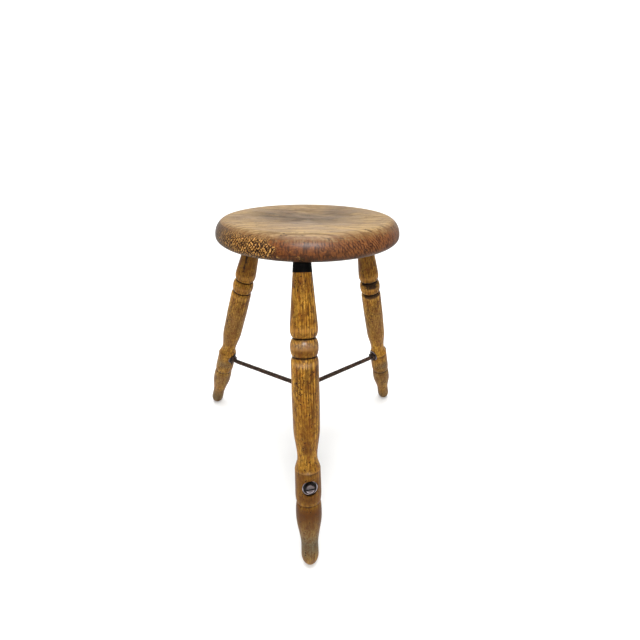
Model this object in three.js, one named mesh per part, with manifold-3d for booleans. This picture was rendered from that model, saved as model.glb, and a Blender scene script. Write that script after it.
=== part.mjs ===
// Wooden milking stool: a thick dished seat on three turned legs, tied together by a Y-shaped
// iron stretcher. Units are millimetres and +Z is up. The stool is laid out about the seat's own
// vertical axis, with the floor at z = 0, and the whole stool is then moved so that its origin
// is on the floor at the centre of its box.

import * as THREE from 'three';
import { mergeVertices } from 'three/addons/utils/BufferGeometryUtils.js';
import Module from 'manifold-3d';

const wasm = await Module();
wasm.setup();

// ---------------------------------------------------------------------------------------------
// Driving dimensions
// ---------------------------------------------------------------------------------------------

const GAP = 0.3; // clearance left between pieces that touch

const SEAT_RADIUS = 150;
const SEAT_HEIGHT = 482; // floor to the rim of the seat's top
const SEAT_THICKNESS = 38.5;
const UNDERSIDE = SEAT_HEIGHT - SEAT_THICKNESS;
const ROUNDING_WIDTH = 21; // the edge is a quarter ellipse above and another below
const TOP_ROUNDING_HEIGHT = 25;
const HOLLOW = { x: 5, y: 14, radius: 98, depth: 5 }; // the worn dish in the seat's top

// Where each leg's axis leaves the seat's underside, where it meets the floor, how far down the
// leg its rod passes through it, and how far that bore is turned away from the hub, in degrees.
// The legs were fitted by eye, so no two are quite alike.
const LEGS = [
  { name: 'front', top: [-8.5, -127], foot: [0.5, -266.5], boreStation: 327, boreTurn: 8 },
  { name: 'left', top: [-96.5, 62.5], foot: [-238, 127], boreStation: 312, boreTurn: 0 },
  { name: 'right', top: [102.5, 64], foot: [197, 134.5], boreStation: 305, boreTurn: 0 },
];

const TENON = { radius: 10.5, depth: 24 };

// Leg radii, and stations measured down the leg's axis from the seat's underside.
const NECK_RADIUS = 12.4;
const SHOULDER = { station: 93, radius: 20.2 };
const UPPER_GROOVE = { station: 105.5, radius: 15 };
const BALL = { station: 119, radius: 20.6 };
const LOWER_GROOVE = { station: 132.3, radius: 16.4 };
const BODY = { start: 141, middle: 190, end: 240, startRadius: 20.2, radius: 20.5, endRadius: 19.9 };
const WAIST = { station: 286, radius: 15.2 };
const COLLAR = { start: 303.5, end: 342, startRadius: 19.5, radius: 20 };
const SCRIBED_GROOVE = { station: 357.5, radius: 17.6 };
const BULB = { station: 377, radius: 19.9 };
const ANKLE = { fromTip: 33, radius: 13.4 };
const FOOT = { fromTip: 17, radius: 13.7 };
const FOOT_WEAR = 2.2; // how far the rounded foot is worn flat where it stands
const CONE_SLOPE = (SHOULDER.radius - NECK_RADIUS) / SHOULDER.station;

const BAND = { station: 15, thickness: 0.8 }; // black wrap on the front leg's neck

const ROD_RADIUS = 4.8;
const BORE_RADIUS = 5.6; // hole through the leg, a loose fit round the rod
const SPOT_FACE = { radius: 12.1, fromAxis: 14.2 }; // flats cut in the collar for the washers
const WASHER = { radius: 11.6, hole: BORE_RADIUS, thickness: 2 };
const OUTER_NUT = { radius: 6.6, height: 4.6, crown: 1.3, boreDepth: 3 };
const SLOT = { width: 2.2, depth: 0.9 };
const INNER_NUT = { acrossFlats: 15, height: 7, chamfer: 1 };
const ELBOW = { fromNut: 6, reach: 4 }; // where the rod bends to enter the leg squarely
const HUB = { centre: [-9.4, -4, 139.5], radius: 17, height: 17, edge: 3, socketDepth: 11 };

const SEAT_SIDES = 56; // facets around each kind of piece
const LEG_SIDES = 28;
const IRON_SIDES = 20;
const ROD_SIDES = 12;
const BEND_STEPS = 5;

// ---------------------------------------------------------------------------------------------
// Materials
// ---------------------------------------------------------------------------------------------

function finish(color, roughness, metalness) {
  return new THREE.MeshStandardMaterial({ color, roughness, metalness });
}

const seatWood = () => finish(0x8a5a34, 0.5, 0);
const legWood = () => finish(0x96683a, 0.45, 0);
const blackWrap = () => finish(0x0c0b0a, 0.6, 0);
const darkIron = () => finish(0x3c342e, 0.55, 0.85);
const wornIron = () => finish(0x57504c, 0.4, 0.9);

// ---------------------------------------------------------------------------------------------
// Solids and placement
// ---------------------------------------------------------------------------------------------

const UP = new THREE.Vector3(0, 0, 1);

function solidOf(geometry) {
  const bare = geometry.clone();
  bare.deleteAttribute('normal');
  bare.deleteAttribute('uv');
  const merged = mergeVertices(bare);
  return new wasm.Manifold(new wasm.Mesh({
    numProp: 3,
    vertProperties: new Float32Array(merged.attributes.position.array),
    triVerts: new Uint32Array(merged.index.array),
  }));
}

function geometryOf(solid) {
  const mesh = solid.getMesh();
  const geometry = new THREE.BufferGeometry();
  const positions = new Float32Array(mesh.vertProperties);
  geometry.setAttribute('position', new THREE.BufferAttribute(positions, 3));
  geometry.setIndex(new THREE.BufferAttribute(new Uint32Array(mesh.triVerts), 1));
  geometry.computeVertexNormals();
  return geometry;
}

// A solid of revolution about +Z, from [height, radius] pairs listed from the top down.
function turned(profile, sides) {
  const points = profile.map(([height, radius]) => new THREE.Vector2(radius, height));
  return new THREE.LatheGeometry(points.reverse(), sides).rotateX(Math.PI / 2);
}

// A cylinder about +Z between two heights.
function cylinder(radius, bottom, top, sides) {
  const geometry = new THREE.CylinderGeometry(radius, radius, top - bottom, sides);
  return geometry.rotateX(Math.PI / 2).translate(0, 0, (top + bottom) / 2);
}

// The placement that puts a piece's own origin at a point and its +Z along a direction.
function placement(origin, direction) {
  const turn = new THREE.Quaternion().setFromUnitVectors(UP, direction);
  return new THREE.Matrix4().compose(origin, turn, new THREE.Vector3(1, 1, 1));
}

function part(name, geometry, material, place) {
  const mesh = new THREE.Mesh(geometry, material);
  mesh.name = name;
  mesh.applyMatrix4(place);
  return mesh;
}

// Points of a convex quarter ellipse between two [height, radius] ends. It leaves the first end
// square to the axis when squareStart is true, and along the axis when it is false.
function quarterRound(from, to, squareStart, steps) {
  const points = [];
  for (let i = 0; i <= steps; i++) {
    const angle = (i / steps) * (Math.PI / 2);
    const quick = Math.sin(angle);
    const slow = 1 - Math.cos(angle);
    points.push([
      THREE.MathUtils.lerp(from[0], to[0], squareStart ? slow : quick),
      THREE.MathUtils.lerp(from[1], to[1], squareStart ? quick : slow),
    ]);
  }
  return points;
}

// Points of an S-curve between two [height, radius] ends, along the axis at both ends.
function easedCurve(from, to, steps) {
  const points = [];
  for (let i = 0; i <= steps; i++) {
    const along = i / steps;
    points.push([
      THREE.MathUtils.lerp(from[0], to[0], along),
      THREE.MathUtils.lerp(from[1], to[1], THREE.MathUtils.smoothstep(along, 0, 1)),
    ]);
  }
  return points;
}

// ---------------------------------------------------------------------------------------------
// Layout: each leg's axis, and the square line that the rod's end takes through its collar
// ---------------------------------------------------------------------------------------------

const hubCentre = new THREE.Vector3(...HUB.centre);
const WASHER_FACE = SPOT_FACE.fromAxis + GAP + WASHER.thickness;
const NUT_SEAT = WASHER_FACE + GAP;

const layout = LEGS.map((leg) => {
  const top = new THREE.Vector3(...leg.top, UNDERSIDE);
  const foot = new THREE.Vector3(...leg.foot, 0);
  const up = top.clone().sub(foot).normalize();
  const crossing = top.clone().addScaledVector(up, -leg.boreStation);
  const fromHub = crossing.clone().sub(hubCentre);
  const outward = fromHub.addScaledVector(up, -fromHub.dot(up)).normalize();
  outward.applyAxisAngle(up, THREE.MathUtils.degToRad(leg.boreTurn));
  const elbowReach = NUT_SEAT + INNER_NUT.height + ELBOW.fromNut;
  const elbow = crossing.clone().addScaledVector(outward, -elbowReach);
  return {
    name: leg.name,
    length: top.distanceTo(foot),
    frame: placement(top, up),
    foot,
    outward,
    outerSide: placement(crossing, outward),
    innerSide: placement(crossing, outward.clone().negate()),
    crossing,
    elbow,
    rodDirection: elbow.clone().sub(hubCentre).normalize(),
  };
});

// ---------------------------------------------------------------------------------------------
// Seat
// ---------------------------------------------------------------------------------------------

// The seat before it is hollowed, grown by a margin on every side.
function seatBlank(margin) {
  const top = SEAT_HEIGHT + margin;
  const bottom = UNDERSIDE - margin;
  const widest = SEAT_HEIGHT - TOP_ROUNDING_HEIGHT;
  const edge = SEAT_RADIUS + margin;
  const flat = SEAT_RADIUS - ROUNDING_WIDTH;
  return turned([
    [top, 0],
    ...quarterRound([top, flat], [widest, edge], true, 8),
    ...quarterRound([widest, edge], [bottom, flat], false, 6).slice(1),
    [bottom, 0],
  ], SEAT_SIDES);
}

// A shallow bowl that comes up through the seat's top at the hollow's radius.
function hollowCutter() {
  const clear = 3;
  const reach = HOLLOW.radius * Math.sqrt(1 + clear / HOLLOW.depth);
  const steps = 7;
  const bowl = [];
  for (let i = 0; i <= steps; i++) {
    const radius = reach * (1 - i / steps);
    const depth = HOLLOW.depth * (1 - (radius / HOLLOW.radius) ** 2);
    bowl.push([SEAT_HEIGHT - depth, radius]);
  }
  const profile = [[SEAT_HEIGHT + clear, 0], ...bowl];
  return turned(profile, SEAT_SIDES).translate(HOLLOW.x, HOLLOW.y, 0);
}

function makeSeat() {
  let solid = solidOf(seatBlank(0)).subtract(solidOf(hollowCutter()));
  for (const leg of layout) {
    const socket = cylinder(TENON.radius + GAP, -TENON.depth, TENON.depth + GAP, IRON_SIDES);
    solid = solid.subtract(solidOf(socket.applyMatrix4(leg.frame)));
  }
  return part('seat', geometryOf(solid), seatWood(), new THREE.Matrix4());
}

// ---------------------------------------------------------------------------------------------
// Legs
// ---------------------------------------------------------------------------------------------

// The turned outline of a leg as [height, radius] pairs. Height 0 is the seat's underside, and
// the cone runs on above it, to be cut off against the seat.
function legProfile(length) {
  const overrun = 16;
  const at = (station, radius) => [-station, radius];
  const upperGroove = at(UPPER_GROOVE.station, UPPER_GROOVE.radius);
  const ball = at(BALL.station, BALL.radius);
  const lowerGroove = at(LOWER_GROOVE.station, LOWER_GROOVE.radius);
  const scribed = at(SCRIBED_GROOVE.station, SCRIBED_GROOVE.radius);
  return [
    [overrun, 0],
    at(-overrun, NECK_RADIUS - CONE_SLOPE * overrun),
    // long cone and its rounded shoulder
    at(SHOULDER.station - 8, SHOULDER.radius - CONE_SLOPE * 5),
    ...quarterRound(at(SHOULDER.station, SHOULDER.radius), upperGroove, false, 3),
    // ball between the two grooves
    ...quarterRound(upperGroove, ball, true, 3).slice(1),
    ...quarterRound(ball, lowerGroove, false, 3).slice(1),
    // long body, full in the middle, drawn in to the waist
    ...quarterRound(lowerGroove, at(BODY.start, BODY.startRadius), true, 3).slice(1),
    at(BODY.middle, BODY.radius),
    ...easedCurve(at(BODY.end, BODY.endRadius), at(WAIST.station, WAIST.radius), 5),
    // flare up to the collar's lip, then the collar
    at(WAIST.station + 5, WAIST.radius + 0.4),
    at(COLLAR.start, COLLAR.startRadius),
    ...quarterRound(at(COLLAR.end, COLLAR.radius), scribed, false, 3),
    // bulb below the scribed groove, drawn in to the ankle
    ...quarterRound(scribed, at(BULB.station, BULB.radius), true, 3).slice(1),
    ...easedCurve(at(BULB.station + 4, BULB.radius), at(length - ANKLE.fromTip, ANKLE.radius), 5),
    // rounded foot
    ...quarterRound(at(length - FOOT.fromTip, FOOT.radius), at(length + FOOT_WEAR, 0), false, 5),
  ];
}

function makeLeg(leg) {
  const reach = 3 * SPOT_FACE.radius;
  const toLeg = leg.frame.clone().invert();
  const cutter = (geometry, place) => solidOf(geometry.applyMatrix4(place).applyMatrix4(toLeg));
  const bore = () => cylinder(BORE_RADIUS, -reach, reach, IRON_SIDES);
  const spotFace = () => cylinder(SPOT_FACE.radius, SPOT_FACE.fromAxis, reach, IRON_SIDES);
  const underFloor = new THREE.BoxGeometry(reach, reach, reach).translate(0, 0, -reach / 2);
  const onFloor = new THREE.Matrix4().makeTranslation(leg.foot);
  let solid = solidOf(turned(legProfile(leg.length), LEG_SIDES))
    .subtract(cutter(seatBlank(GAP), new THREE.Matrix4()));
  if (leg.name === 'front') {
    solid = solid.subtract(solidOf(bandRing(BAND.thickness + GAP, 2 * GAP, BAND.station + GAP)));
  }
  solid = solid
    .add(solidOf(cylinder(TENON.radius, -TENON.depth / 2, TENON.depth, IRON_SIDES)))
    .subtract(cutter(bore(), leg.outerSide))
    .subtract(cutter(spotFace(), leg.outerSide))
    .subtract(cutter(spotFace(), leg.innerSide))
    .subtract(cutter(underFloor, onFloor));
  return part(`leg_${leg.name}`, geometryOf(solid), legWood(), leg.frame);
}

// ---------------------------------------------------------------------------------------------
// Black band round the front leg's neck
// ---------------------------------------------------------------------------------------------

// A ring that follows the neck's cone, from up inside the seat's thickness down to a station.
// It goes a depth into the wood and stands a margin out of it.
function bandRing(depth, margin, station) {
  const overrun = 14;
  const coneAt = (height) => NECK_RADIUS - CONE_SLOPE * height;
  return turned([
    [overrun, coneAt(overrun) - depth],
    [overrun, coneAt(overrun) + margin],
    [-station, coneAt(-station) + margin],
    [-station, coneAt(-station) - depth],
    [overrun, coneAt(overrun) - depth],
  ], LEG_SIDES);
}

function makeNeckBand(leg) {
  const seat = seatBlank(GAP).applyMatrix4(leg.frame.clone().invert());
  const solid = solidOf(bandRing(BAND.thickness, 0, BAND.station)).subtract(solidOf(seat));
  return part('neck_band', geometryOf(solid), blackWrap(), leg.frame);
}

// ---------------------------------------------------------------------------------------------
// Iron stretcher
// ---------------------------------------------------------------------------------------------

function makeHub() {
  const half = HUB.height / 2;
  const rim = half - HUB.edge;
  const face = HUB.radius - HUB.edge;
  const socketStart = HUB.radius - HUB.socketDepth;
  let solid = solidOf(turned([
    [half, 0],
    ...quarterRound([half, face], [rim, HUB.radius], true, 3),
    ...quarterRound([-rim, HUB.radius], [-half, face], false, 3),
    [-half, 0],
  ], IRON_SIDES));
  for (const leg of layout) {
    const socket = cylinder(ROD_RADIUS + GAP, socketStart, 2 * HUB.radius, ROD_SIDES);
    const place = placement(new THREE.Vector3(), leg.rodDirection);
    solid = solid.subtract(solidOf(socket.applyMatrix4(place)));
  }
  return part('stretcher_hub', geometryOf(solid), darkIron(), placement(hubCentre, UP));
}

// A path straight from each point to the next, for an extrusion with one step between them.
class Waypoints extends THREE.Curve {
  constructor(points) {
    super();
    this.points = points;
  }

  getPoint(t) {
    const place = t * (this.points.length - 1);
    const index = Math.min(Math.floor(place), this.points.length - 2);
    return this.points[index].clone().lerp(this.points[index + 1], place - index);
  }

  getPointAt(t) {
    return this.getPoint(t);
  }

  getTangentAt(t) {
    return this.getTangent(t);
  }
}

// A rod runs straight from the hub, bends close to the leg and passes squarely through it.
function makeRod(leg) {
  const along = (origin, direction, distance) => origin.clone().addScaledVector(direction, distance);
  const start = along(hubCentre, leg.rodDirection, HUB.radius - HUB.socketDepth + GAP);
  const end = along(leg.crossing, leg.outward, NUT_SEAT + OUTER_NUT.boreDepth - GAP);
  const bend = new THREE.QuadraticBezierCurve3(
    along(leg.elbow, leg.rodDirection, -ELBOW.reach),
    leg.elbow,
    along(leg.elbow, leg.outward, ELBOW.reach),
  );
  const points = [start, ...bend.getPoints(BEND_STEPS), end];
  const section = new THREE.Shape().absarc(0, 0, ROD_RADIUS, 0, 2 * Math.PI);
  const geometry = new THREE.ExtrudeGeometry(section, {
    steps: points.length - 1,
    curveSegments: ROD_SIDES / 2,
    extrudePath: new Waypoints(points),
  });
  return part(`rod_${leg.name}`, geometry, darkIron(), new THREE.Matrix4());
}

function makeWasher(name, side) {
  const bottom = SPOT_FACE.fromAxis + GAP;
  const geometry = turned([
    [WASHER_FACE, WASHER.hole],
    [WASHER_FACE, WASHER.radius],
    [bottom, WASHER.radius],
    [bottom, WASHER.hole],
    [WASHER_FACE, WASHER.hole],
  ], IRON_SIDES);
  return part(name, geometry, wornIron(), side);
}

// Round nut with a crowned, slotted face, closed over the rod's end.
function makeOuterNut(leg) {
  const face = NUT_SEAT + OUTER_NUT.height;
  const crownEdge = OUTER_NUT.radius - 2 * OUTER_NUT.crown;
  const bore = ROD_RADIUS + GAP;
  const boreEnd = NUT_SEAT + OUTER_NUT.boreDepth;
  const body = solidOf(turned([
    [face, 0],
    ...quarterRound([face, crownEdge], [face - OUTER_NUT.crown, OUTER_NUT.radius], true, 4),
    [NUT_SEAT, OUTER_NUT.radius],
    [NUT_SEAT, bore],
    [boreEnd, bore],
    [boreEnd, 0],
  ], IRON_SIDES));
  const slot = new THREE.BoxGeometry(3 * OUTER_NUT.radius, SLOT.width, 2 * SLOT.depth);
  const solid = body.subtract(solidOf(slot.translate(0, 0, face)));
  return part(`outer_nut_${leg.name}`, geometryOf(solid), wornIron(), leg.outerSide);
}

// Hexagon nut with both faces chamfered.
function makeInnerNut(leg) {
  const face = NUT_SEAT + INNER_NUT.height;
  const inscribed = INNER_NUT.acrossFlats / 2;
  const corner = inscribed / Math.cos(Math.PI / 6);
  const bore = ROD_RADIUS + GAP;
  const blank = solidOf(cylinder(corner, NUT_SEAT, face, 6));
  const envelope = solidOf(turned([
    [face, bore],
    [face, inscribed],
    [face - INNER_NUT.chamfer, corner + GAP],
    [NUT_SEAT + INNER_NUT.chamfer, corner + GAP],
    [NUT_SEAT, inscribed],
    [NUT_SEAT, bore],
    [face, bore],
  ], IRON_SIDES));
  return part(`inner_nut_${leg.name}`, geometryOf(blank.intersect(envelope)), darkIron(), leg.innerSide);
}

// ---------------------------------------------------------------------------------------------
// Assembly
// ---------------------------------------------------------------------------------------------

const stool = new THREE.Group();
stool.add(makeSeat());
stool.add(makeNeckBand(layout.find((leg) => leg.name === 'front')));
stool.add(makeHub());
for (const leg of layout) {
  stool.add(makeLeg(leg));
  stool.add(makeRod(leg));
  stool.add(makeWasher(`inner_washer_${leg.name}`, leg.innerSide));
  stool.add(makeWasher(`outer_washer_${leg.name}`, leg.outerSide));
  stool.add(makeInnerNut(leg));
  stool.add(makeOuterNut(leg));
}

const box = new THREE.Box3().setFromObject(stool, true);
const middle = box.getCenter(new THREE.Vector3());
stool.position.set(-middle.x, -middle.y, -box.min.z);

export default stool;
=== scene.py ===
"""The looks of the wooden milking stool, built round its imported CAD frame.

Metres, +Z up, the front leg towards -Y. Places and outer sizes come from the frame. Stations are
distances down a leg's axis from the seat's underside, as on a turner's drawing.
"""
import math

import bmesh
import bpy
import numpy as np
from mathutils import Matrix, Vector, noise


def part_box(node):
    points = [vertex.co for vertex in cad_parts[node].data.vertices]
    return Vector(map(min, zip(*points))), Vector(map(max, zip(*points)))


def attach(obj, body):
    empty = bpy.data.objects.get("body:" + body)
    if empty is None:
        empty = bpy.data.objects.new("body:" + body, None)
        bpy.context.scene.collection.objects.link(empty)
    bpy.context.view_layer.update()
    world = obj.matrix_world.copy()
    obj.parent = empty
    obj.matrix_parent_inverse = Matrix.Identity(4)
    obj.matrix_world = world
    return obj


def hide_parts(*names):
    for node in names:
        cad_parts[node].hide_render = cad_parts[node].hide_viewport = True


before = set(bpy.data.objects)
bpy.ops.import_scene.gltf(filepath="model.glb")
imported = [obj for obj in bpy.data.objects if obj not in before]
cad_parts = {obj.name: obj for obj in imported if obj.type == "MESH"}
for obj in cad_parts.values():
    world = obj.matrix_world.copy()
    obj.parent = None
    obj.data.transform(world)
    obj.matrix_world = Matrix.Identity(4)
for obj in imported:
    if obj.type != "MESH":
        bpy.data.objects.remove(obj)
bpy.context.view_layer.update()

MM = 0.001
LEGS = ("front", "left", "right")
UP = Vector((0, 0, 1))

# ---- The frame: where each piece sits --------------------------------

TENON_DEPTH = 24 * MM
TENON_END = 2 * MM  # corners this near to the top of a leg belong to the end of its tenon


def corners(node):
    """The different corners of a CAD node's mesh, in metres."""
    points = np.array([vertex.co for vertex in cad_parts[node].data.vertices])
    return np.unique(points.round(6), axis=0)


def middle(node):
    """The centre of a CAD node that is the same all round, such as a washer."""
    return Vector(corners(node).mean(axis=0))


def leg_axis(leg):
    """Where a leg's axis meets the seat's underside, and its upward direction.

    Both come from the ring of corners at the end of the leg's tenon.
    """
    points = corners(f"leg_{leg}")
    lengthways = np.linalg.svd(points - points.mean(axis=0), full_matrices=False)[2][0]
    lengthways = lengthways * np.sign(lengthways[2])
    heights = points @ lengthways
    end = points[heights > heights.max() - TENON_END]
    direction = np.linalg.svd(end - end.mean(axis=0), full_matrices=False)[2][2]
    direction = Vector(direction * np.sign(direction[2])).normalized()
    return Vector(end.mean(axis=0)) - direction * TENON_DEPTH, direction


def bore_line(leg):
    """The point midway between a leg's two washers, and the outward direction of its bore."""
    inner = middle(f"inner_washer_{leg}")
    outer = middle(f"outer_washer_{leg}")
    return (outer + inner) / 2, (outer - inner).normalized()


def washer_faces(leg):
    """How far a washer's two flat faces are from the middle of the leg's bore, the nearer first."""
    crossing, outward = bore_line(leg)
    reach = (corners(f"outer_washer_{leg}") - np.array(crossing)) @ np.array(outward)
    return reach.min(), reach.max()


def upright(origin, up):
    """A placement with its +Z along up and its -Y turned as nearly as possible to the front."""
    across = Vector((0, 1, 0)).cross(up).normalized()
    back = up.cross(across)
    turn = Matrix((across, back, up)).transposed().to_4x4()
    return Matrix.Translation(origin) @ turn


def facing(origin, direction):
    """A placement with its +Z along a direction."""
    turn = direction.to_track_quat("Z", "Y").to_matrix().to_4x4()
    return Matrix.Translation(origin) @ turn


# ---- Node materials --------------------------------------------------

WAVE_PERIOD = math.pi / 10  # of a wave texture at scale 1, in metres
FINE_BUMP = 0.3 * MM
GRAIN_TURN = (0, 0, math.radians(4))  # the seat's grain isn't quite square to the front
DASH_TURN = (0, 0, 0.2)


def srgb(red, green, blue):
    """A colour from 0 to 255 per channel, as the linear values that a shader takes."""

    def linear(level):
        level = level / 255
        return level / 12.92 if level <= 0.04045 else ((level + 0.055) / 1.055) ** 2.4

    return linear(red), linear(green), linear(blue), 1.0


class Shade:
    """A node material being put together. Each method adds nodes and gives their output back."""

    def __init__(self, name):
        self.material = bpy.data.materials.new(name)
        self.material.use_nodes = True
        self.tree = self.material.node_tree
        self.surface = self.tree.nodes["Principled BSDF"].inputs

    def add(self, kind, inputs, **settings):
        node = self.tree.nodes.new(kind)
        for key, value in settings.items():
            setattr(node, key, value)
        for name, value in inputs.items():
            self.feed(node.inputs[name], value)
        return node

    def feed(self, socket, value):
        if isinstance(value, bpy.types.NodeSocket):
            self.tree.links.new(value, socket)
        else:
            socket.default_value = value

    def place(self):
        """The piece's own coordinates, in metres, as new_piece() stores them."""
        return self.vector("own")

    def value(self, name):
        """A number that paint() stored on the mesh."""
        return self.add("ShaderNodeAttribute", {}, attribute_name=name).outputs["Fac"]

    def vector(self, name):
        """A vector that paint() stored on the mesh."""
        return self.add("ShaderNodeAttribute", {}, attribute_name=name).outputs["Vector"]

    def scaled(self, vector, scale, turn=(0, 0, 0), shift=(0, 0, 0)):
        inputs = {"Vector": vector, "Scale": scale, "Rotation": turn, "Location": shift}
        return self.add("ShaderNodeMapping", inputs).outputs["Vector"]

    def noise(self, vector, detail, roughness):
        inputs = {"Vector": vector, "Scale": 1.0, "Detail": detail, "Roughness": roughness}
        return self.add("ShaderNodeTexNoise", inputs).outputs["Fac"]

    def cells(self, vector):
        """How far each point is from the middle of its cell."""
        return self.add("ShaderNodeTexVoronoi", {"Vector": vector, "Scale": 1.0}).outputs["Distance"]

    def rings(self, vector, spacing, axis, warp, warp_size):
        """Growth rings a spacing apart around an axis through the origin, from 0 to 1 across each."""
        inputs = {"Vector": vector, "Scale": WAVE_PERIOD / spacing, "Distortion": warp, "Detail": 2.0,
                  "Detail Scale": warp_size}
        node = self.add("ShaderNodeTexWave", inputs, wave_type="RINGS", rings_direction=axis,
                        wave_profile="SAW")
        return node.outputs["Fac"]

    def bands(self, vector, spacing, turn, warp):
        """Wavering lines a spacing apart across a flat vector, turned by an angle in degrees."""
        turned = self.scaled(vector, (1, 1, 1), (0, 0, math.radians(turn)))
        inputs = {"Vector": turned, "Scale": WAVE_PERIOD / spacing, "Distortion": warp, "Detail": 3.0,
                  "Detail Scale": 1.6}
        return self.add("ShaderNodeTexWave", inputs, wave_type="BANDS", bands_direction="X").outputs["Fac"]

    def span(self, value, low, high, start=0.0, end=1.0):
        """Goes smoothly from start to end as value goes from low to high, and stays there."""
        inputs = {"Value": value, "From Min": low, "From Max": high, "To Min": start, "To Max": end}
        node = self.add("ShaderNodeMapRange", inputs, interpolation_type="SMOOTHSTEP")
        return node.outputs["Result"]

    def maths(self, operation, first, second):
        node = self.add("ShaderNodeMath", {}, operation=operation)
        self.feed(node.inputs[0], first)
        self.feed(node.inputs[1], second)
        return node.outputs[0]

    def either(self, first, second):
        return self.maths("MAXIMUM", first, second)

    def times(self, first, second):
        return self.maths("MULTIPLY", first, second)

    def plus(self, first, second):
        return self.maths("ADD", first, second)

    def tint(self, factor, under, over):
        """The colour under, covered by the colour over as far as the factor says."""
        node = self.add("ShaderNodeMix", {}, data_type="RGBA")
        self.feed(node.inputs[0], factor)
        self.feed(node.inputs[6], under)
        self.feed(node.inputs[7], over)
        return node.outputs[2]

    def bump(self, height, distance):
        node = self.add("ShaderNodeBump", {"Height": height, "Distance": distance, "Strength": 1.0})
        self.feed(self.surface["Normal"], node.outputs["Normal"])


def seat_top(shade, clouds, mottle, blotches, fibres):
    """The colour of the seat's top: grey-brown and figured, with dark stains and a warmer rim."""
    place = shade.place()
    dull_elm = srgb(130, 104, 68)
    light_elm = srgb(158, 132, 90)
    stained = srgb(60, 48, 33)
    dark_grain = srgb(76, 54, 30)
    warm_brown = srgb(104, 70, 38)

    # growth rings about a line well behind and below the seat, parallel to its grain
    pith = shade.scaled(place, (0.22, 1, 1), GRAIN_TURN, (0, -0.3, 0.3))
    late = shade.span(shade.rings(pith, 0.0088, "X", 7.0, 0.9), 0.6, 0.95)
    figure = shade.noise(shade.scaled(place, (24, 170, 170), GRAIN_TURN), 5, 0.7)

    top = shade.tint(shade.span(clouds, 0.3, 0.7), dull_elm, light_elm)
    worn = shade.times(shade.value("worn"), shade.span(blotches, 0.3, 0.6, 0.55, 1.0))
    top = shade.tint(worn, top, stained)
    top = shade.tint(shade.times(late, 0.65), top, dark_grain)
    top = shade.tint(shade.times(shade.span(figure, 0.49, 0.58), 0.65), top, dark_grain)
    top = shade.tint(shade.times(shade.span(fibres, 0.48, 0.6), 0.4), top, dark_grain)
    rim = shade.times(shade.span(shade.value("edge"), 0.0, 0.3), shade.span(mottle, 0.3, 0.6, 0.35, 0.8))
    return shade.tint(rim, top, warm_brown)


def seat_red_edge(shade, clouds, mottle, broken):
    """The colour of most of the seat's edge: red-brown, darker below and hatched on the right."""
    flat_skin = shade.vector("flat_skin")
    dark_red = srgb(78, 36, 10)
    light_red = srgb(132, 76, 28)
    dusty_red = srgb(112, 64, 34)
    shadowed = srgb(50, 20, 5)
    between_strokes = srgb(142, 92, 54)
    hatch_stroke = srgb(44, 22, 10)

    red = shade.tint(shade.span(mottle, 0.35, 0.65), dark_red, light_red)
    red = shade.tint(shade.span(clouds, 0.35, 0.7, 0.0, 0.5), red, dusty_red)
    low = shade.times(shade.value("low"), shade.span(broken, 0.35, 0.6, 0.5, 1.0))
    red = shade.tint(shade.times(low, 0.85), red, shadowed)
    hatching = shade.times(shade.span(shade.bands(flat_skin, 0.0039, 40, 5.0), 0.5, 0.8),
                           shade.span(broken, 0.35, 0.5))
    red = shade.tint(shade.times(shade.value("hatched"), 0.5), red, between_strokes)
    return shade.tint(shade.times(shade.value("hatched"), shade.times(hatching, 0.9)), red, hatch_stroke)


def seat_gold_edge(shade, mottle, broken):
    """The colour of the edge where it is rubbed bare: gold with black crazing that leans both ways."""
    flat_skin = shade.vector("flat_skin")
    dark_gold = srgb(126, 76, 28)
    light_gold = srgb(216, 160, 86)
    crazing = srgb(24, 12, 5)

    falling = shade.times(shade.span(shade.bands(flat_skin, 0.0037, -34, 8.0), 0.45, 0.6),
                          shade.span(broken, 0.36, 0.46))
    rising = shade.times(shade.span(shade.bands(flat_skin, 0.0044, 36, 8.0), 0.55, 0.7),
                         shade.span(broken, 0.6, 0.48))
    bare = shade.tint(shade.span(mottle, 0.35, 0.6), dark_gold, light_gold)
    return shade.tint(shade.either(falling, rising), bare, crazing)


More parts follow.
